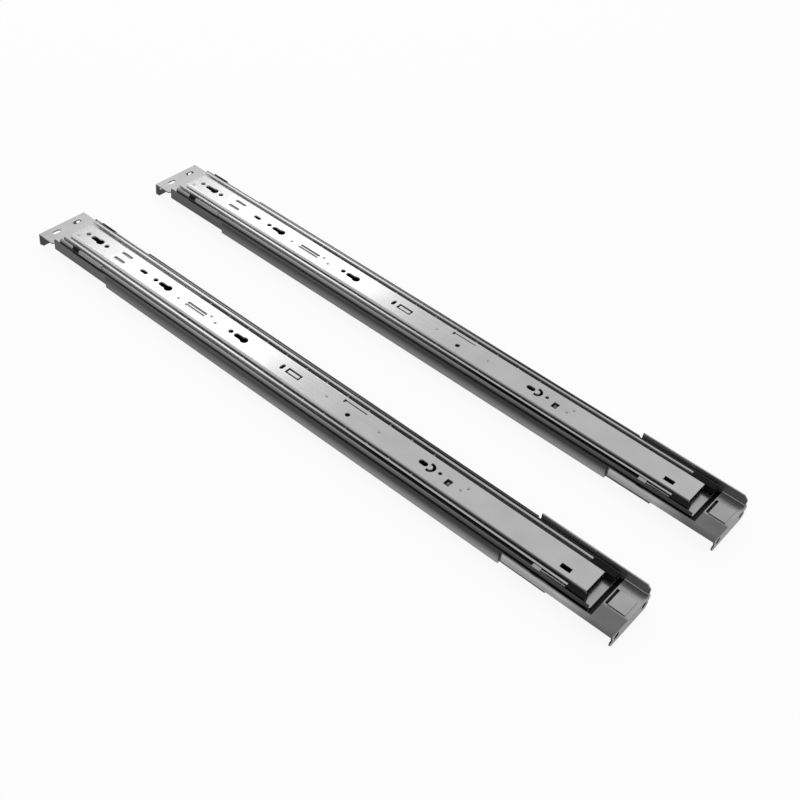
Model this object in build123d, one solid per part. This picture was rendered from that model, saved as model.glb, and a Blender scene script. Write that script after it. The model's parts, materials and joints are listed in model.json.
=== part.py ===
from build123d import *
import os

# Pair of server rack slides, closed and lying on their mounting flanges.
# Each rail is drawn with its front flange plane at X = 0 and X running to the rear, Y across, Z up.

# Lengths along one rail, from the outer face of the front flange
rail_length = 538.0
outer_front = 22.0
inner_front = 25.0
base_front = 17.0
support_front = 78.0
plate_wide_end = 15.0
front_strip_end = 72.0

# Lengths at the rear, which keep to the rear flange when the rail's length changes
rear_room = 22.0
inner_setback = 7.0
base_setback = 29.0
support_setback = 36.0
tongue_length = 246.0
arm_length = 85.0
floor_gap = 3.2

# Heights and half widths of the slide sections
flange_width = 44.0
total_height = 20.0
inner_half = 11.1
inner_sheet = 1.2
inner_depth = 5.5
middle_half = 16.4
middle_sheet = 1.1
middle_web_bottom = 12.3
middle_lip_top = 19.5
middle_wall = 1.6
outer_half = 19.1
outer_sheet = 1.1
outer_roof_top = 18.6
roof_drop = 2.1
roof_run = 1.5
roof_edge = 0.3
channel_sheet = 1.0
channel_top = 15.4
base_web_bottom = 5.7
support_sheet = 1.3
bracket_sheet = 1.0
bend_extra = 0.5
sheet_lap = 0.6

# Clearances
run_gap = 0.3
seat_gap = 0.05
race_gap = 0.2
pocket_gap = 0.1

# Ball races
inner_ball_r = 1.6
outer_ball_r = 1.1
inner_race_z = 17.0
outer_race_z = 13.9
groove_depth = 0.5
race_wall = 1.1
cage_sheet = 0.5
outer_cage_rise = 1.9
cage_front = 146.0
cage_rear = 380.0
ball_count = 12

# Rack flanges
hole_spacing = 31.75
hole_r = 2.75
hole_z = 7.5
window_x = 6.5
window_y = 10.0
window_length = 7.5
window_width = 3.4
flange_chamfer = 2.5
flange_recess_half = 11.0
flange_recess_top = 9.5

# Rivets, screws and the depth adjustment
rivet_r = 2.0
rivet_head_r = 3.4
rivet_head = 0.8
spacer_r = 3.0
channel_rivet_x = (110.0, 190.0, 265.0)
front_rivet_x = (38.0, 58.0)
front_rivet_y = 9.0
screw_setbacks = (41.0, 13.0)
screw_head = 2.6
screw_head_across = 7.0
washer_r = 4.6
washer_height = 0.6
depth_travel = 100.0
near_arm_top = 16.2
arm_corner = 3.0
pad_y0 = -4.0
pad_y1 = 11.0
pad_height = 0.7
pad_inset = 3.0
pad_slit = 2.2
flange_notch_r = 1.6
flange_notch_z = 6.8
plate_taper = 4.0
strip_inset = 3.5

# Chassis fixings in the inner member
keyhole_x = (47.0, 123.0, 202.5)
keyhole_head_r = 3.2
keyhole_slot = 4.4
keyhole_reach = 6.2
lock_slot_x = 370.3
lock_slot_length = 7.2
lock_slot_width = 4.2
lock_ring_x = 375.8
lock_ring_r = 4.4
lock_ring_cut = 2.3
lock_ring_mouth = 1.0
lock_dot_x = 384.2
lock_dot_y = 0.5
lock_dot_r = 1.4
small_hole_r = 2.0
small_hole_x = (33.6, 54.4, 109.6, 189.3)
oval_x = 96.4
oval_length = 7.2
oval_width = 3.4
dimple_r = 1.4
dimple_depth = 0.9
dimple_xy = ((29.5, -6.6), (136.6, -2.2), (168.0, 1.2), (175.0, -2.1), (282.8, 0.6), (331.0, 0.6),
             (402.8, -1.2), (405.8, 3.7))
lance_x = 73.5
lance_y = 4.0
lance_length = 11.0
lance_width = 2.8
lance_slit = 0.35
lance_lap = 1.2
lance_drop = 0.8
long_lance_x = 154.5
long_lance_length = 20.0
long_lance_width = 2.3
long_lance_y = (0.0, -2.9)
long_lance_drop = (0.8, 0.68)
cross_slot_x = 241.0
cross_slot_length = 5.6
cross_slot_width = 2.8
tab_x = 251.8
tab_length = 13.0
tab_width = 5.6
tab_cut = 1.5
tab_drop = 0.3
round_hole_x = 305.0
round_hole_y = -2.8
round_hole_r = 1.9
pull_slot_x = 304.6
pull_slot_y = 7.0
pull_slot_length = 20.0
pull_slot_width = 1.0
pull_end_length = 3.4
pull_end_width = 1.8
pull_end_y = 6.3
latch_x = 393.0
latch_y = -2.0
latch_length = 4.6
latch_width = 5.8
latch_drop = 0.8
rear_slot_setback = 19.3
rear_slot_y = -5.0
rear_slot_length = 8.0
rear_slot_width = 4.0

# Levers, catches and buffers
release_length = 54.0
release_width = 3.0
release_sheet = 1.0
release_pivot_x = 319.0
release_pivot_y = 5.7
pivot_r = 1.2
pivot_head_r = 2.0
pivot_head = 0.5
release_knob = 4.0
release_eye_r = 2.6
buffer_length = 18.5
near_buffer_setback = 4.5
buffer_top = 18.8
detent_length = 24.0
detent_thick = 1.0
detent_step = 0.4
detent_bend = 3.0
detent_top = 18.6
detent_depth = 2.4
detent_pivot_inset = 3.0
thumb_length = 6.0
thumb_width = 2.8
thumb_height = 0.7
catch_front = 37.0
catch_length = 6.0
guide_front = 29.0
guide_length = 14.0
pad_thick = 0.8
pad_slant = 0.4
eave_share = 0.95

# Ribbed strips: one on the near roof at the front, one inside the far rear arm
rib_width = 0.9
rib_gap = 1.1
rib_back = 0.2
rib_height = 0.5
front_ribs_x = 45.0
front_rib_count = 13
rear_ribs_inset = 22.0
rear_rib_count = 11
rear_ribs_low = 17.0
rear_ribs_high = 19.6

# The pair
rail_spacing = 113.0
far_rail_shift = 7.6

# Places at the rear, worked out from the lengths above
outer_rear = rail_length - rear_room
inner_rear = outer_rear - inner_setback
base_rear = outer_rear - base_setback
support_rear = base_rear - support_setback
tongue_front = rail_length - tongue_length
arm_front = rail_length - arm_length
screw_x = [support_rear - setback for setback in screw_setbacks]
rear_slot_x = inner_rear - rear_slot_setback
buffer_front = outer_rear - buffer_length
near_buffer_rear = outer_rear - near_buffer_setback
rear_ribs_x = arm_front + rear_ribs_inset
all_fixings_x = [*channel_rivet_x, *screw_x]

# Heights worked out from the sizes above
inner_under = total_height - inner_sheet
inner_tip = total_height - inner_depth
middle_web_top = middle_web_bottom + middle_sheet
plate_top = middle_web_bottom - run_gap
outer_web_bottom = plate_top - outer_sheet
base_web_top = base_web_bottom + channel_sheet
support_bottom = base_web_bottom - support_sheet
outer_race_r = outer_ball_r + race_gap
inner_race_r = inner_ball_r + race_gap
inner_race_y = inner_half - groove_depth + inner_race_r
middle_lip_inner = inner_race_y + inner_race_r - groove_depth
outer_race_y = middle_half - groove_depth + outer_race_r
outer_inner_face = outer_race_y + outer_race_r - groove_depth
outer_bulge = outer_race_y + outer_race_r + race_wall
base_inner = outer_bulge + seat_gap
base_half = base_inner + channel_sheet
support_half = base_half + support_sheet
arm_inner = base_half + run_gap
arm_half = arm_inner + bracket_sheet
buffer_seat = middle_web_top + 2 * run_gap
tongue_top = outer_web_bottom - run_gap
tongue_tip = base_web_top + run_gap
tongue_half = base_inner - run_gap
floor_top = plate_top + run_gap
floor_front = outer_rear + floor_gap
strip_half = outer_half - strip_inset
middle_lip_outer = middle_lip_inner + middle_wall
inner_race_top = inner_race_z + inner_race_r


def strip(y0, y1, z0, z1):
    return Pos((y0 + y1) / 2, (z0 + z1) / 2) * Rectangle(y1 - y0, z1 - z0)


def disc(y, z, radius):
    return Pos(y, z) * Circle(radius)


def both_sides(section):
    return section + mirror(section, about=Plane.YZ)


def bar(section, x0, x1):
    return extrude(Plane.YZ.offset(x0) * section, amount=x1 - x0)


def block(x0, x1, y0, y1, z0, z1):
    return Pos((x0 + x1) / 2, (y0 + y1) / 2, (z0 + z1) / 2) * Box(x1 - x0, y1 - y0, z1 - z0)


def pin(x, y, z0, z1, radius):
    return Pos(x, y, (z0 + z1) / 2) * Cylinder(radius, z1 - z0)


def slot(x, y, z0, z1, length, width, turn=0.0):
    shape = Pos(x, y, z0) * Rot(0, 0, turn) * SlotOverall(length, width)
    return extrude(shape, amount=z1 - z0)


# A sheet folded to a U: its web at web_z, its two lips ending at tip_z
def folded(half, web_z, tip_z, sheet):
    way = 1 if tip_z > web_z else -1
    depth = abs(tip_z - web_z)
    middle_z = (web_z + tip_z) / 2
    outside = Pos(0, middle_z) * Rectangle(2 * half, depth)
    corners = [v for v in outside.vertices() if abs(v.Y - web_z) < 0.01]
    outside = fillet(corners, sheet + bend_extra)
    inside = Pos(0, middle_z + way * sheet) * Rectangle(2 * (half - sheet), depth)
    corners = [v for v in inside.vertices() if abs(v.Y - web_z - way * sheet) < 0.01]
    inside = fillet(corners, bend_extra)
    return outside - inside


def inner_section():
    section = folded(inner_half, total_height, inner_tip, inner_sheet)
    swell = disc(inner_race_y, inner_race_z, inner_race_r + race_wall)
    swell = swell & strip(0, inner_half, inner_tip, inner_under)
    section = section + both_sides(swell)
    return section - both_sides(disc(inner_race_y, inner_race_z, inner_race_r))


def middle_section():
    knee = inner_race_z - inner_race_r
    section = folded(middle_half, middle_web_bottom, knee + sheet_lap, middle_sheet)
    lip = strip(middle_lip_inner, middle_lip_outer, knee, middle_lip_top)
    swell_up = disc(inner_race_y, inner_race_z, inner_race_r + race_wall)
    swell_up = swell_up & strip(middle_lip_inner, outer_half, knee - sheet_lap, middle_lip_top)
    swell_down = disc(outer_race_y, outer_race_z, outer_race_r + race_wall)
    swell_down = swell_down & strip(0, middle_half, middle_web_bottom, middle_lip_top)
    section = section + both_sides(lip + swell_up + swell_down)
    races = disc(inner_race_y, inner_race_z, inner_race_r) + disc(outer_race_y, outer_race_z, outer_race_r)
    return section - both_sides(races)


def outer_section():
    shoulder = outer_roof_top - roof_drop
    section = folded(outer_half, outer_web_bottom, shoulder, outer_sheet)
    inside = outer_half - outer_sheet
    ridge = outer_half - roof_run
    roof = Polyline((inside, shoulder - sheet_lap), (outer_half, shoulder - sheet_lap),
                    (outer_half, shoulder), (ridge, outer_roof_top),
                    (ridge - roof_edge, outer_roof_top - sheet_lap),
                    (inside, shoulder), close=True)
    swell = disc(outer_race_y, outer_race_z, outer_race_r + race_wall)
    swell = swell & strip(outer_inner_face, 2 * outer_half, plate_top, outer_roof_top)
    section = section + both_sides(make_face(roof) + swell)
    return section - both_sides(disc(outer_race_y, outer_race_z, outer_race_r))


def keyhole(x, head_r):
    head = pin(x, 0, inner_under, total_height, head_r)
    reach = keyhole_reach + keyhole_slot / 2
    return head + slot(x - reach / 2, 0, inner_under, total_height, reach + keyhole_slot / 2, keyhole_slot)


# A slot, and behind it a ring with an open mouth that leaves a round spring tongue
def lock_cut():
    ring = pin(lock_ring_x, 0, inner_under, total_height, lock_ring_r)
    ring -= pin(lock_ring_x, 0, inner_under, total_height, lock_ring_r - lock_ring_cut)
    ring -= block(lock_ring_x - 2 * lock_ring_r, lock_ring_x - lock_ring_mouth, -lock_ring_r, lock_ring_r,
                  inner_under, total_height)
    return ring + slot(lock_slot_x, 0, inner_under, total_height, lock_slot_length, lock_slot_width)


# A conical mark of a punch in the upper face
def punch_mark(x, y):
    centre = Pos(x, y, total_height - dimple_depth / 2)
    return centre * Cone(bottom_radius=0, top_radius=dimple_r, height=dimple_depth)


# A window that holds a tongue, pressed down and rooted under the window's rear edge
def pressed_tab(body, x, y, length, width, drop):
    body -= block(x - length / 2, x + length / 2, y - width / 2, y + width / 2, inner_under, total_height)
    reach = length / 2 - tab_cut
    half = width / 2 - tab_cut
    tongue = block(x - reach, x + reach, y - half, y + half, inner_under - drop, total_height - drop)
    return body + tongue + block(x - reach, x + length / 2 + lance_lap, y - half, y + half,
                                 inner_under - drop, inner_under)


# Two slits with the strip of web between them pressed down
def lance(body, x, y, length, width, drop):
    body -= slot(x, y, inner_under, total_height, length, width)
    reach = length / 2 + lance_lap
    half = width / 2 - lance_slit
    ends = block(x - reach, x + reach, y - half, y + half, inner_under - drop, inner_under)
    return body + ends + block(x - length / 2, x + length / 2, y - half, y + half,
                               inner_under - drop, total_height - drop)


def inner_member():
    body = bar(inner_section(), inner_front, inner_rear)
    for x in keyhole_x:
        body -= keyhole(x, keyhole_head_r)
    body -= lock_cut()
    for x in small_hole_x:
        body -= pin(x, 0, inner_under, total_height, small_hole_r)
    body -= pin(lock_dot_x, lock_dot_y, inner_under, total_height, lock_dot_r)
    body -= slot(oval_x, 0, inner_under, total_height, oval_length, oval_width)
    for side in (-1, 1):
        body = lance(body, lance_x, side * lance_y, lance_length, lance_width, lance_drop)
    for y, drop in zip(long_lance_y, long_lance_drop):
        body = lance(body, long_lance_x, y, long_lance_length, long_lance_width, drop)
    body -= slot(cross_slot_x, 0, inner_under, total_height, cross_slot_length, cross_slot_width, 90)
    body = pressed_tab(body, tab_x, 0, tab_length, tab_width, tab_drop)
    body -= pin(round_hole_x, round_hole_y, inner_under, total_height, round_hole_r)
    body -= slot(pull_slot_x, pull_slot_y, inner_under, total_height, pull_slot_length, pull_slot_width)
    body -= slot(pull_slot_x - pull_slot_length / 2, pull_end_y, inner_under, total_height,
                 pull_end_length, pull_end_width, 90)
    body = pressed_tab(body, latch_x, latch_y, latch_length, latch_width, latch_drop)
    body -= block(rear_slot_x - rear_slot_length / 2, rear_slot_x + rear_slot_length / 2,
                  rear_slot_y - rear_slot_width / 2, rear_slot_y + rear_slot_width / 2,
                  inner_under, total_height)
    body -= pin(release_pivot_x, release_pivot_y, inner_under, total_height, pivot_r)
    for x, y in dimple_xy:
        body -= punch_mark(x, y)
    return body


def middle_member():
    body = bar(middle_section(), outer_front, outer_rear)
    body -= block(buffer_front, rail_length, -outer_half, outer_half, buffer_seat, total_height)
    return body - cross_pin(-middle_lip_outer, pivot_r, 4 * middle_wall)


def outer_member():
    body = bar(outer_section(), outer_front, outer_rear)
    for x in all_fixings_x:
        body -= pin(x, 0, outer_web_bottom, plate_top, rivet_r)
    for x in front_rivet_x:
        for side in (-1, 1):
            body -= pin(x, side * front_rivet_y, outer_web_bottom, plate_top, rivet_r)
    return body


def base_channel():
    body = bar(folded(base_half, base_web_bottom, channel_top, channel_sheet), base_front, base_rear)
    for x in all_fixings_x:
        body -= pin(x, 0, base_web_bottom, base_web_top, rivet_r)
    for x in front_rivet_x:
        for side in (-1, 1):
            body -= pin(x, side * front_rivet_y, base_web_bottom, base_web_top, rivet_r)
    return body


def support_channel():
    section = folded(support_half, support_bottom, channel_top, support_sheet)
    body = bar(section, support_front, support_rear)
    for x in all_fixings_x:
        body -= pin(x, 0, support_bottom, base_web_bottom, rivet_r)
    return body


def rack_flange(x0, x1, top):
    half = flange_width / 2
    outline = Polyline((-half, top), (-half, flange_chamfer), (flange_chamfer - half, 0),
                       (half - flange_chamfer, 0), (half, flange_chamfer), (half, top), close=True)
    flange = bar(make_face(outline), x0, x1)
    for side in (-1, 1):
        y = side * hole_spacing / 2
        flange -= Pos((x0 + x1) / 2, y, hole_z) * Rot(0, 90, 0) * Cylinder(hole_r, 4 * (x1 - x0))
    return flange


def front_bracket():
    half = flange_width / 2
    plate_under = plate_top - bracket_sheet
    neck = plate_wide_end + plate_taper
    plate_end = neck + bracket_sheet
    outline = Polyline((0, -half), (plate_wide_end, -half), (neck, -strip_half), (plate_end, -strip_half),
                       (plate_end, strip_half), (neck, strip_half), (plate_wide_end, half), (0, half),
                       close=True)
    body = extrude(Pos(0, 0, plate_under) * make_face(outline), amount=bracket_sheet)
    strip_top = outer_web_bottom
    body += block(neck, plate_end, -strip_half, strip_half, strip_top - bracket_sheet, plate_top)
    body += block(neck, front_strip_end, -strip_half, strip_half, strip_top - bracket_sheet, strip_top)
    body += rack_flange(0, bracket_sheet, plate_top)
    body -= block(0, bracket_sheet, -flange_recess_half, flange_recess_half, 0, flange_recess_top)
    for side in (-1, 1):
        body -= slot(window_x, side * window_y, plate_under, plate_top, window_length, window_width, 90)
        for x in front_rivet_x:
            body -= pin(x, side * front_rivet_y, strip_top - bracket_sheet, strip_top, rivet_r)
    return body


def rear_bracket():
    section = folded(tongue_half, tongue_top, tongue_tip, bracket_sheet)
    body = bar(section, tongue_front, floor_front + bracket_sheet)
    pad_front = floor_front + pad_inset
    pad_rear = rail_length - pad_inset
    tongue_bottom = tongue_top - bracket_sheet
    body += block(base_rear + run_gap, pad_front + pad_slit, -arm_half, arm_half, tongue_bottom, tongue_top)
    slot_front = screw_x[0] - depth_travel - spacer_r - run_gap
    slot_rear = screw_x[-1] + spacer_r + run_gap
    body -= slot((slot_front + slot_rear) / 2, 0, tongue_tip, outer_web_bottom, slot_rear - slot_front,
                 2 * (spacer_r + run_gap))
    body += block(floor_front, floor_front + bracket_sheet, -arm_half, arm_half, tongue_bottom, floor_top)
    end = bar(folded(arm_half, floor_top - bracket_sheet, total_height, bracket_sheet),
              arm_front, rail_length - bracket_sheet)
    rear_edges = [e for e in end.edges().filter_by(Axis.Y) if e.center().X > floor_front]
    corners = [e for e in rear_edges if e.center().Z > near_arm_top]
    end = chamfer(corners, arm_corner)
    end -= block(arm_front, rail_length, -arm_half, -arm_inner, near_arm_top, total_height)
    body += end - block(arm_front, floor_front, -arm_inner, arm_inner, 0, total_height)
    body += block(arm_front, rail_length, arm_inner, arm_half, tongue_bottom, floor_top)
    body += block(arm_front, rail_length, -arm_half, -arm_inner, tongue_bottom, floor_top)
    body += rack_flange(rail_length - bracket_sheet, rail_length, floor_top)
    for side in (-1, 1):
        notch = Pos(rail_length, side * arm_half, flange_notch_z) * Rot(0, 90, 0)
        body -= notch * Cylinder(flange_notch_r, 4 * bracket_sheet)
    body += block(pad_front, pad_rear, pad_y0, pad_y1, floor_top, floor_top + pad_height)
    body -= block(pad_front - pad_slit, pad_front, pad_y0, pad_y1, floor_top - bracket_sheet,
                  floor_top + pad_height)
    return body


# A rivet that spaces the channels apart, flush on top
def spacing_rivet(x, y, low, seat):
    body = pin(x, y, low - rivet_head, low, rivet_head_r) + pin(x, y, low, plate_top, rivet_r)
    return body + pin(x, y, base_web_top, seat, spacer_r)


def channel_rivets():
    return [spacing_rivet(x, 0, support_bottom, outer_web_bottom) for x in channel_rivet_x]


def front_rivets():
    seat = outer_web_bottom - bracket_sheet
    return [spacing_rivet(x, side * front_rivet_y, base_web_bottom, seat)
            for x in front_rivet_x for side in (-1, 1)]


def depth_screws():
    screws = []
    for x in screw_x:
        low = support_bottom - washer_height
        hexagon = RegularPolygon(screw_head_across / 2, 6, major_radius=False)
        head = Pos(x, 0, low - screw_head) * extrude(hexagon, amount=screw_head)
        body = head + pin(x, 0, low, plate_top, rivet_r)
        body += pin(x, 0, base_web_top, outer_web_bottom, spacer_r)
        screws.append(body)
    return screws


def depth_washers():
    rings = []
    for x in screw_x:
        ring = pin(x, 0, support_bottom - washer_height, support_bottom, washer_r)
        rings.append(ring - pin(x, 0, support_bottom - washer_height, support_bottom, rivet_r))
    return rings


def cage_positions():
    step = (cage_rear - cage_front) / ball_count
    return [cage_front + step * (i + 0.5) for i in range(ball_count)]


def balls(y, z, radius):
    return [Pos(x, side * y, z) * Sphere(radius) for x in cage_positions() for side in (-1, 1)]


def inner_balls():
    return balls(inner_race_y, inner_race_z, inner_ball_r)


def outer_balls():
    return balls(outer_race_y, outer_race_z, outer_ball_r)


def inner_ball_cage():
    half = inner_race_y + cage_sheet / 2
    low = middle_web_top + run_gap
    body = bar(folded(half, low, inner_race_top - race_gap, cage_sheet), cage_front, cage_rear)
    pocket = Rot(90, 0, 0) * Cylinder(inner_ball_r + pocket_gap, 3 * inner_half)
    for x in cage_positions():
        body -= Pos(x, 0, inner_race_z) * pocket
    return body


def outer_ball_cages():
    low = plate_top + 2 * race_gap
    pocket = Rot(90, 0, 0) * Cylinder(outer_ball_r + pocket_gap, 4 * cage_sheet)
    strips = []
    for side in (-1, 1):
        y = side * outer_race_y
        body = block(cage_front, cage_rear, y - cage_sheet / 2, y + cage_sheet / 2,
                     low, outer_race_z + outer_cage_rise)
        for x in cage_positions():
            body -= Pos(x, y, outer_race_z) * pocket
        strips.append(body)
    return strips


def rear_buffers():
    inside = inner_half + 2 * run_gap
    outside = middle_half
    far_block = block(buffer_front, outer_rear, inside, outside, buffer_seat, buffer_top)
    near_block = block(buffer_front, near_buffer_rear, -outside, -inside, buffer_seat, buffer_top)
    return [far_block, near_block]


# The detent's pivot, drawn as a cylinder across the rail
def cross_pin(y, radius, length):
    pivot_z = detent_top - detent_depth / 2
    return Pos(buffer_front - detent_pivot_inset, y, pivot_z) * Rot(90, 0, 0) * Cylinder(radius, length)


# The lever lies outside the near lip of the middle member, its thumb tab over the roof
def detent_lever():
    x1 = buffer_front - 2 * run_gap
    x0 = x1 - detent_length
    bend = x0 + detent_length / 3
    y = -(middle_lip_outer + run_gap)
    low = y - detent_step
    path = Polyline((x0, low), (bend, low), (bend + detent_bend, y), (x1, y), (x1, y - detent_thick),
                    (bend + detent_bend, y - detent_thick), (bend, low - detent_thick),
                    (x0, low - detent_thick), close=True)
    body = extrude(Pos(0, 0, detent_top - detent_depth) * make_face(path), amount=detent_depth)
    seat = outer_roof_top + run_gap
    body += block(x0, x0 + thumb_length, low - detent_thick, low, detent_top - detent_depth, seat)
    body += block(x0, x0 + thumb_length, low - thumb_width, low, seat, seat + thumb_height)
    return body - cross_pin(y, pivot_r + pocket_gap, 4 * detent_thick)


def detent_pin():
    inside = middle_lip_inner + groove_depth
    outside = middle_lip_outer + run_gap + detent_thick
    return cross_pin(-(inside + outside) / 2, pivot_r, outside - inside)


def release_lever():
    top = inner_under - race_gap
    x, y = release_pivot_x, release_pivot_y
    x0 = x - release_length / 2
    half = release_width / 2
    body = slot(x, y, top - release_sheet, top, release_length, release_width)
    body += pin(x, y, top - release_sheet, top, release_eye_r)
    body += block(x0 + half, x0 + half + release_knob, y - half, y + half, top - 2 * release_sheet, top)
    return body - pin(x, y, top - release_sheet, top, pivot_r + pocket_gap)


def release_rivet():
    x, y = release_pivot_x, release_pivot_y
    low = inner_under - 2 * race_gap - release_sheet
    return pin(x, y, low, total_height, pivot_r) + pin(x, y, low - pivot_head, low, pivot_head_r)


# A pad that sits on the sloping roof of the outer member
def roof_pad(side, x0, length, thick):
    ridge = outer_half - roof_run
    eave_y = outer_half - (1 - eave_share) * roof_run
    eave_z = outer_roof_top - eave_share * roof_drop
    outline = Polyline((ridge - roof_edge, outer_roof_top), (ridge, outer_roof_top), (eave_y, eave_z),
                       (eave_y + pad_slant, eave_z + thick), (ridge + pad_slant, outer_roof_top + thick),
                       (ridge - roof_edge, outer_roof_top + thick), close=True)
    section = make_face(outline)
    section = section if side > 0 else mirror(section, about=Plane.YZ)
    return bar(section, x0, x0 + length)


def front_catch():
    return roof_pad(-1, catch_front, catch_length, pad_thick)


def front_guide():
    return roof_pad(1, guide_front, guide_length, pad_thick)


def rib_starts(x0, count):
    return [x0 + i * (rib_width + rib_gap) for i in range(count)]


def front_ribs():
    starts = rib_starts(front_ribs_x, front_rib_count)
    body = roof_pad(-1, front_ribs_x, starts[-1] + rib_width - front_ribs_x, rib_back)
    for x in starts:
        body += roof_pad(-1, x, rib_width, rib_height)
    return body


def rear_ribs():
    starts = rib_starts(rear_ribs_x, rear_rib_count)
    body = block(rear_ribs_x, starts[-1] + rib_width, arm_inner - rib_back, arm_inner,
                 rear_ribs_low, rear_ribs_high)
    for x in starts:
        body += block(x, x + rib_width, arm_inner - rib_height, arm_inner, rear_ribs_low, rear_ribs_high)
    return body


makers = {
    "front_bracket": front_bracket, "base_channel": base_channel, "support_channel": support_channel,
    "outer_member": outer_member, "middle_member": middle_member, "inner_member": inner_member,
    "rear_bracket": rear_bracket, "channel_rivets": channel_rivets, "front_rivets": front_rivets,
    "depth_screws": depth_screws, "depth_washers": depth_washers,
    "inner_ball_cage": inner_ball_cage, "outer_ball_cages": outer_ball_cages,
    "inner_balls": inner_balls, "outer_balls": outer_balls,
    "rear_buffers": rear_buffers, "detent_lever": detent_lever, "detent_pin": detent_pin,
    "release_lever": release_lever, "release_rivet": release_rivet,
    "front_catch": front_catch, "front_guide": front_guide,
    "front_ribs": front_ribs, "rear_ribs": rear_ribs,
}


os.makedirs("parts", exist_ok=True)
middle_x = (rail_length + far_rail_shift) / 2
places = {"near": Pos(-middle_x, -rail_spacing / 2, 0),
          "far": Pos(far_rail_shift - middle_x, rail_spacing / 2, 0)}
for name, make in makers.items():
    made = make()
    solids = made if isinstance(made, list) else [made]
    for side, place in places.items():
        moved = [place * solid for solid in solids]
        shape = moved[0] if len(moved) == 1 else Compound(children=moved)
        shape.label = f"{side}_{name}"
        export_step(shape, f"parts/{side}_{name}.step")
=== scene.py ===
import bpy
import json
import math
from mathutils import Matrix, Vector


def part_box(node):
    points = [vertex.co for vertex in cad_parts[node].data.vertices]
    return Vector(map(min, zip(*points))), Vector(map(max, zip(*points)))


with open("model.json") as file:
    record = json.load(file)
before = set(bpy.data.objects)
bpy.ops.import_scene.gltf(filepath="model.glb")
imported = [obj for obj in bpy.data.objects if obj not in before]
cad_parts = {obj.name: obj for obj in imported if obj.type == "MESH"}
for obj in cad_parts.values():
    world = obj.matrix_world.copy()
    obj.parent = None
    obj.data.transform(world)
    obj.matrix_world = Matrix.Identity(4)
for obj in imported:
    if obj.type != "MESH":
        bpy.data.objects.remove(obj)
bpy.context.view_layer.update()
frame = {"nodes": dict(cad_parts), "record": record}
MM = 0.001

# Camera, solved from the two rails' edges in the photograph: millimetres and degrees
CAMERA_PLACE = (401.0, -542.3, 614.4)
CAMERA_HEADING = 34.16
CAMERA_TILT = 46.62
CAMERA_ROLL = 8.60
CAMERA_LENS = 55.95
CAMERA_SENSOR = 36.0
CAMERA_NEAREST = 10.0

# Distance of each rail's middle line from the middle of the pair
RAIL_Y = (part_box("far_inner_member")[0][1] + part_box("far_inner_member")[1][1]) / 2

# Shade in the grooves: how far a neighbouring wall still shades another, the rays that find it,
# and how open a wall is to the sky where it is darkest and where it is clear
GROOVE_REACH = 6 * MM
GROOVE_RAYS = 12
GROOVE_OPENNESS = (0.1, 0.6)

# Where a sheet's near side, with its painted reflection, turns into its middle, across the rail
NEAR_SIDE = (-6.5 * MM, -3.5 * MM)

# A surface is an end where its normal runs more than this along the rail
END_FACING = 0.7

# A wall is an inside one where its distance from the middle line, times how far its normal points
# away from that line, is less than this
INSIDE_FACING = -0.1 * MM

# How gradually the tone of low faces changes, in height and along the rail
LOW_FADE_UP = 0.3 * MM
LOW_FADE_ALONG = 2 * MM

# Walls are less metallic than flat faces, which are fully so
WALL_METALLIC = 0.3

# Colour of the zinc plating, scaled by each sheet's tone, which carries the painted light and shade
ZINC = (1.0, 1.0, 1.0)

# Cloudy patches in the plating; the range is the part of the noise that they use
CLOUD_SCALE = 45.0
CLOUD_DETAIL = 4.0
CLOUD_RANGE = (0.3, 0.7)

# Rolling lines, finest across the sheet: their range as above, their depth as a bump and how far
# they swing the roughness
ROLLING_SCALE = (6.0, 900.0, 900.0)
ROLLING_DETAIL = 3.0
ROLLING_RANGE = (0.25, 0.75)
ROLLING_DEPTH = 0.1 * MM
ROLLING_SWING = 0.04

# Softened edges, and the rays that find them
EDGE_RADIUS = 0.2 * MM
EDGE_RAYS = 4

# Black moulded nylon with a fine grain
NYLON_BLACK = (0.004, 0.004, 0.005, 1)
NYLON_ROUGHNESS = 0.5
NYLON_GLOSS = 0.08
NYLON_GRAIN = 0.3
NYLON_GRAIN_DEPTH = 0.1 * MM
NYLON_GRAIN_SCALE = 1500.0
NYLON_GRAIN_DETAIL = 2.0

# Room of the studio: its light on the object, and its white where a ray sees it directly
ROOM_WHITE = (1, 1, 1, 1)
ROOM_LIGHT = 0.9
ROOM_SEEN = 1.0

# Floor of pale paper, just under the rails; a ray that sees it meets this share of plain white, and
# the rest takes the light and the shadow
FLOOR_EDGE = 8.0
FLOOR_DROP = 0.2 * MM
FLOOR_PAPER = (0.85, 0.85, 0.85, 1)
FLOOR_WHITE = 0.9

# Softbox above the front halves: its mirror image covers the faces that the photograph shows
# brightest
SOFTBOX_CENTRE = (-1.011, 0.95, 1.02)
SOFTBOX_SIZE = (0.475, 1.3)
SOFTBOX_POWER = 4.0


def place_camera():
    data = bpy.data.cameras.new("photo_camera")
    data.lens = CAMERA_LENS
    data.sensor_width = CAMERA_SENSOR
    data.clip_start = CAMERA_NEAREST * MM
    camera = bpy.data.objects.new("photo_camera", data)
    bpy.context.collection.objects.link(camera)
    turn = (Matrix.Rotation(math.radians(CAMERA_HEADING), 4, "Z")
            @ Matrix.Rotation(math.radians(CAMERA_TILT), 4, "X")
            @ Matrix.Rotation(math.radians(CAMERA_ROLL), 4, "Z"))
    camera.matrix_world = Matrix.Translation(Vector(CAMERA_PLACE) * MM) @ turn
    bpy.context.scene.camera = camera


def new_material(name):
    material = bpy.data.materials.new(name)
    material.use_nodes = True
    return material, material.node_tree, material.node_tree.nodes["Principled BSDF"]


# Sets a socket to a number, or links it to another node's output
def feed(tree, socket, value):
    if isinstance(value, (int, float)):
        socket.default_value = value
    else:
        tree.links.new(value, socket)


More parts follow.
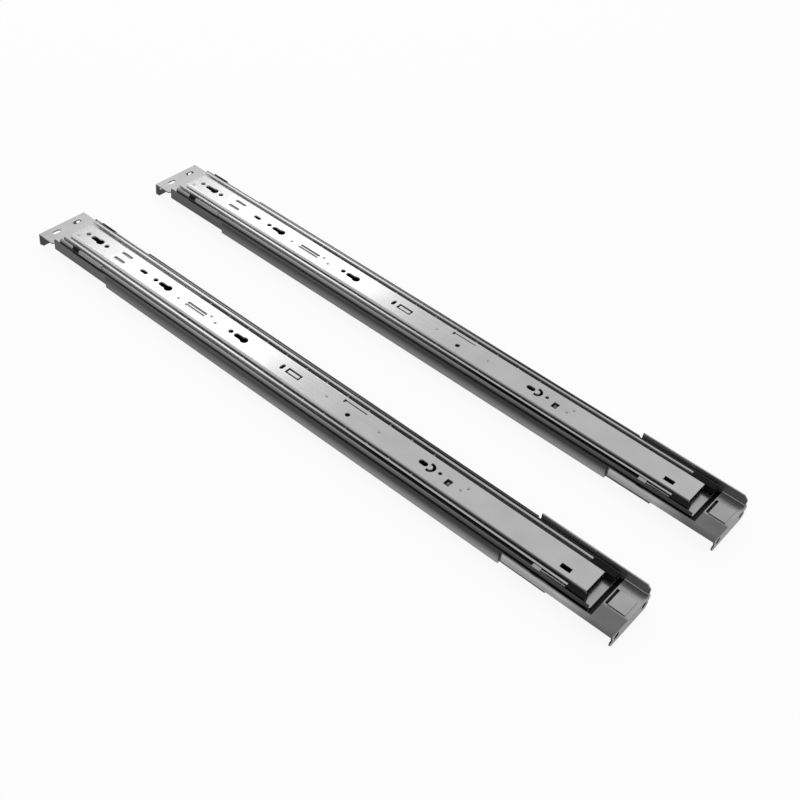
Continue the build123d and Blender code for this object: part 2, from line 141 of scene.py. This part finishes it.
def math_of(tree, operation, first, second=0.0):
    node = tree.nodes.new("ShaderNodeMath")
    node.operation = operation
    feed(tree, node.inputs[0], first)
    feed(tree, node.inputs[1], second)
    return node.outputs["Value"]


def product(tree, first, second):
    return math_of(tree, "MULTIPLY", first, second)


# Turns a value that runs over the pair span into one that runs over the pair result
def ramp(tree, value, span, result, smooth=False):
    node = tree.nodes.new("ShaderNodeMapRange")
    node.interpolation_type = "SMOOTHSTEP" if smooth else "LINEAR"
    feed(tree, node.inputs["Value"], value)
    feed(tree, node.inputs["From Min"], span[0])
    feed(tree, node.inputs["From Max"], span[1])
    feed(tree, node.inputs["To Min"], result[0])
    feed(tree, node.inputs["To Max"], result[1])
    return node.outputs["Result"]


def blend_tones(tree, share, first, second):
    node = tree.nodes.new("ShaderNodeMix")
    feed(tree, node.inputs["Factor"], share)
    feed(tree, node.inputs["A"], first)
    feed(tree, node.inputs["B"], second)
    return node.outputs["Result"]


def noise(tree, place, scale, detail):
    node = tree.nodes.new("ShaderNodeTexNoise")
    node.inputs["Scale"].default_value = scale
    node.inputs["Detail"].default_value = detail
    feed(tree, node.inputs["Vector"], place)
    return node.outputs["Fac"]


def bump_of(tree, height, strength, depth):
    node = tree.nodes.new("ShaderNodeBump")
    node.inputs["Strength"].default_value = strength
    node.inputs["Distance"].default_value = depth
    feed(tree, node.inputs["Height"], height)
    return node


def parts_of(tree, vector):
    node = tree.nodes.new("ShaderNodeSeparateXYZ")
    feed(tree, node.inputs["Vector"], vector)
    return node.outputs["X"], node.outputs["Y"], node.outputs["Z"]


# Rolling lines that run along the sheet, as roughness and as a fine bump over softened edges
def rolled_surface(tree, shader, place, roughness, grain):
    stretch = tree.nodes.new("ShaderNodeMapping")
    stretch.inputs["Scale"].default_value = ROLLING_SCALE
    feed(tree, stretch.inputs["Vector"], place)
    lines = noise(tree, stretch.outputs["Vector"], 1.0, ROLLING_DETAIL)
    swing = (roughness - ROLLING_SWING, roughness + ROLLING_SWING)
    feed(tree, shader.inputs["Roughness"], ramp(tree, lines, ROLLING_RANGE, swing))
    edges = tree.nodes.new("ShaderNodeBevel")
    edges.samples = EDGE_RAYS
    edges.inputs["Radius"].default_value = EDGE_RADIUS
    bump = bump_of(tree, lines, grain, ROLLING_DEPTH)
    feed(tree, bump.inputs["Normal"], edges.outputs["Normal"])
    feed(tree, shader.inputs["Normal"], bump.outputs["Normal"])


# Plated sheet, with light and shade painted in by the way each surface faces. All tones are shares
# of the plating's colour.
#   face        flat faces, and low_face those below the height low_z, ahead of low_x and behind it
#   painted_near_reflection  painted reflection: darker flat faces on the near side of the rail,
#   beyond the turn NEAR_SIDE
#   wall        folded walls and sheared edges, at the two heights wall_z: painted light and shade
#   inside      walls that look towards the rail's middle line, at the two places inside_x: painted light
#   end         faces that look along the rail: painted shade
#   painted_light_along  painted light and shade: factors of the walls and ends outside the rail, at
#   the two places painted_light_along_x
#   turn        how level a surface is where it starts and ends its turn from wall to face
#   painted_groove_shade   painted shade: factor of a wall deep in a groove
#   grain       strength of the rolling lines, and spread that of the cloudy patches
def plated_sheet(name, face, wall, roughness, inside=None, inside_x=(-0.10, 0.09), end=None,
                 low_face=None, low_z=None, low_x=0.0, painted_near_reflection=None,
                 wall_z=(4.4 * MM, 15.4 * MM), painted_light_along=None, painted_light_along_x=None, turn=(0.25, 0.9),
                 painted_groove_shade=0.4, grain=0.15, spread=0.05):
    material, tree, shader = new_material(name)
    source = tree.nodes.new("ShaderNodeTexCoord")
    place = source.outputs["Object"]
    x, y, z = parts_of(tree, place)
    facing_x, facing_y, facing_z = parts_of(tree, source.outputs["Normal"])
    off_centre = math_of(tree, "SUBTRACT", y, product(tree, math_of(tree, "SIGN", y), RAIL_Y))

    # Painted light and shade by height: a wall's tone runs between the two heights wall_z
    tone = ramp(tree, z, wall_z, wall)
    # Painted shade on faces that look along the rail
    if end is not None:
        lengthwise = math_of(tree, "ABSOLUTE", facing_x)
        is_end = math_of(tree, "GREATER_THAN", lengthwise, END_FACING)
        tone = blend_tones(tree, is_end, tone, end)
    # Painted light and shade along the rail: walls and ends are scaled from one factor to the other
    if painted_light_along is not None:
        tone = product(tree, tone, ramp(tree, x, painted_light_along_x, painted_light_along))
    # Painted light in the grooves: inside walls take a tone that runs along the rail, brighter at
    # the front
    if inside is not None:
        outward = product(tree, off_centre, facing_y)
        is_inside = math_of(tree, "LESS_THAN", outward, INSIDE_FACING)
        tone = blend_tones(tree, is_inside, tone, ramp(tree, x, inside_x, inside))
    # Painted groove shade: walls are darkened where neighbouring walls close them in
    sky = tree.nodes.new("ShaderNodeAmbientOcclusion")
    sky.samples = GROOVE_RAYS
    sky.inputs["Distance"].default_value = GROOVE_REACH
    tone = product(tree, tone, ramp(tree, sky.outputs["AO"], GROOVE_OPENNESS, (painted_groove_shade, 1.0)))

    top = face
    # Painted reflection: flat faces on the near side of the rail take their own, darker tone
    if painted_near_reflection is not None:
        top = ramp(tree, off_centre, NEAR_SIDE, (painted_near_reflection, face), smooth=True)
    if low_face is not None:
        low_tone = ramp(tree, x, (low_x, low_x + LOW_FADE_ALONG), low_face)
        top = ramp(tree, z, (low_z, low_z + LOW_FADE_UP), (low_tone, top))

    # Painted light and shade by facing: level faces take the top tone, and walls take their own
    level = ramp(tree, math_of(tree, "ABSOLUTE", facing_z), turn, (0.0, 1.0), smooth=True)
    tone = blend_tones(tree, level, tone, top)
    feed(tree, shader.inputs["Metallic"], blend_tones(tree, level, WALL_METALLIC, 1.0))

    clouds = noise(tree, place, CLOUD_SCALE, CLOUD_DETAIL)
    tone = product(tree, tone, ramp(tree, clouds, CLOUD_RANGE, (1.0 - spread, 1.0 + spread)))
    tinted = tree.nodes.new("ShaderNodeVectorMath")
    tinted.operation = "SCALE"
    tinted.inputs[0].default_value = ZINC
    feed(tree, tinted.inputs["Scale"], tone)
    feed(tree, shader.inputs["Base Color"], tinted.outputs["Vector"])
    rolled_surface(tree, shader, place, roughness, grain)
    return material


def black_nylon():
    material, tree, shader = new_material("black_nylon")
    shader.inputs["Base Color"].default_value = NYLON_BLACK
    shader.inputs["Roughness"].default_value = NYLON_ROUGHNESS
    shader.inputs["Specular IOR Level"].default_value = NYLON_GLOSS
    place = tree.nodes.new("ShaderNodeTexCoord").outputs["Object"]
    grain = noise(tree, place, NYLON_GRAIN_SCALE, NYLON_GRAIN_DETAIL)
    bump = bump_of(tree, grain, NYLON_GRAIN, NYLON_GRAIN_DEPTH)
    feed(tree, shader.inputs["Normal"], bump.outputs["Normal"])
    return material


# Materials of the record's material slots, with their painted light and shade; both brackets have
# one of their own below
SLOT_MATERIALS = {
    # Walls and ends carry painted light: brighter at the front, darker at the rear
    "face_steel": plated_sheet("bright_face_steel", 0.445, (0.30, 0.30), 0.17,
                               low_face=(0.14, 0.14), low_z=19.2 * MM,
                               painted_light_along=(2.4, 0.2), painted_light_along_x=(-0.20, 0.22),
                               turn=(0.6, 0.99), painted_groove_shade=0.6),
    # Painted light and shade: inside walls bright at the front and dark at the rear, other walls
    # dark and lighter high up
    "slide_steel": plated_sheet("rolled_slide_steel", 0.24, (0.02, 0.16), 0.24,
                                inside=(0.75, 0.08), wall_z=(16.4 * MM, 18.6 * MM),
                                painted_light_along=(2.4, 0.12), painted_light_along_x=(-0.10, 0.24), turn=(0.62, 0.95)),
    # Painted reflection and shade: walls lighter low down and towards the rear, darker high up;
    # flat rims dark
    "side_steel": plated_sheet("dull_side_steel_painted_shade_and_reflection", 0.05, (0.17, 0.004), 0.35,
                               wall_z=(8.0 * MM, 14.0 * MM),
                               painted_light_along=(0.62, 1.6), painted_light_along_x=(-0.20, 0.18)),
    "rivet_steel": plated_sheet("rivet_steel", 0.42, (0.2, 0.2), 0.28),
    "screw_zinc": plated_sheet("screw_zinc", 0.5, (0.4, 0.4), 0.3),
    # Cage and balls toned dark as painted shade of the grooves they run in
    "cage_steel": plated_sheet("cage_steel", 0.05, (0.02, 0.02), 0.35),
    "ball_steel": plated_sheet("ball_steel", 0.2, (0.1, 0.1), 0.12, grain=0.0),
    "spring_steel": plated_sheet("spring_steel", 0.30, (0.2, 0.2), 0.3),
    "black_plastic": black_nylon(),
}

# Materials of single pieces that differ from their slot's, with their painted light and shade
PIECE_MATERIALS = {
    "base_channel": plated_sheet("shaded_base_steel", 0.06, (0.045, 0.065), 0.35),
    # Painted shade: the web below 14 mm is dark where the inner member covers it and lit behind;
    # walls darken towards the rear
    "middle_member": plated_sheet("middle_slide_steel", 0.36, (0.5, 0.5), 0.24,
                                  inside=(0.9, 0.3),
                                  low_face=(0.05, 0.34), low_z=14.0 * MM, low_x=0.225,
                                  painted_light_along=(1.0, 0.02), painted_light_along_x=(-0.06, 0.07), painted_groove_shade=0.5),
    # Painted shade and reflection: dark floor under the channel, darker near side, walls and ends
    # darker towards the rear
    "rear_bracket": plated_sheet("satin_rear_steel", 0.36, (0.14, 0.42), 0.30,
                                 inside=(0.2, 0.09), inside_x=(0.21, 0.25), end=0.3,
                                 painted_near_reflection=0.15, low_face=(0.015, 0.015), low_z=11.2 * MM,
                                 painted_light_along=(1.0, 0.28), painted_light_along_x=(0.225, 0.25), spread=0.12),
    # Walls painted dark as shade
    "front_bracket": plated_sheet("satin_front_steel", 0.34, (0.05, 0.05), 0.26, spread=0.08),
}


# Gives each node its material; a piece's name is its node's without the rail
def dress_nodes():
    slots = {entry["node"]: entry["material_slot"] for entry in frame["record"]["subparts"]}
    for name, part in frame["nodes"].items():
        piece = name.split("_", 1)[1]
        chosen_material = PIECE_MATERIALS[piece] if piece in PIECE_MATERIALS else SLOT_MATERIALS[slots[name]]
        part.data.materials.clear()
        part.data.materials.append(chosen_material)


def hang_softbox():
    data = bpy.data.lights.new("overhead_softbox", "AREA")
    data.shape = "RECTANGLE"
    data.size, data.size_y = SOFTBOX_SIZE
    data.energy = SOFTBOX_POWER
    softbox = bpy.data.objects.new("overhead_softbox", data)
    bpy.context.collection.objects.link(softbox)
    softbox.location = SOFTBOX_CENTRE


# 1 where a ray comes from the camera, from a mirror or through glass, and 0 where it carries light
def white_seen(tree):
    path = tree.nodes.new("ShaderNodeLightPath")
    seen = math_of(tree, "MAXIMUM", path.outputs["Is Camera Ray"], path.outputs["Is Glossy Ray"])
    return math_of(tree, "MAXIMUM", seen, path.outputs["Is Transmission Ray"])


def light_world():
    world = bpy.data.worlds.new("studio")
    world.use_nodes = True
    bpy.context.scene.world = world
    tree = world.node_tree
    background = tree.nodes["Background"]
    background.inputs["Color"].default_value = ROOM_WHITE
    strength = ramp(tree, white_seen(tree), (0.0, 1.0), (ROOM_LIGHT, ROOM_SEEN))
    feed(tree, background.inputs["Strength"], strength)


def lay_floor():
    bpy.ops.object.select_all(action="DESELECT")
    bpy.ops.mesh.primitive_plane_add(size=FLOOR_EDGE, location=(0, 0, -FLOOR_DROP))
    floor = bpy.context.object
    floor.name = "studio_floor"
    material, tree, shader = new_material("floor_white")
    tree.nodes.remove(shader)
    paper = tree.nodes.new("ShaderNodeBsdfDiffuse")
    paper.inputs["Color"].default_value = FLOOR_PAPER
    glow = tree.nodes.new("ShaderNodeEmission")
    mixed = tree.nodes.new("ShaderNodeMixShader")
    feed(tree, mixed.inputs[0], product(tree, white_seen(tree), FLOOR_WHITE))
    feed(tree, mixed.inputs[1], paper.outputs["BSDF"])
    feed(tree, mixed.inputs[2], glow.outputs["Emission"])
    feed(tree, tree.nodes["Material Output"].inputs["Surface"], mixed.outputs["Shader"])
    floor.data.materials.append(material)


place_camera()
dress_nodes()
light_world()
lay_floor()
hang_softbox()
bpy.context.scene.view_settings.view_transform = "Standard"
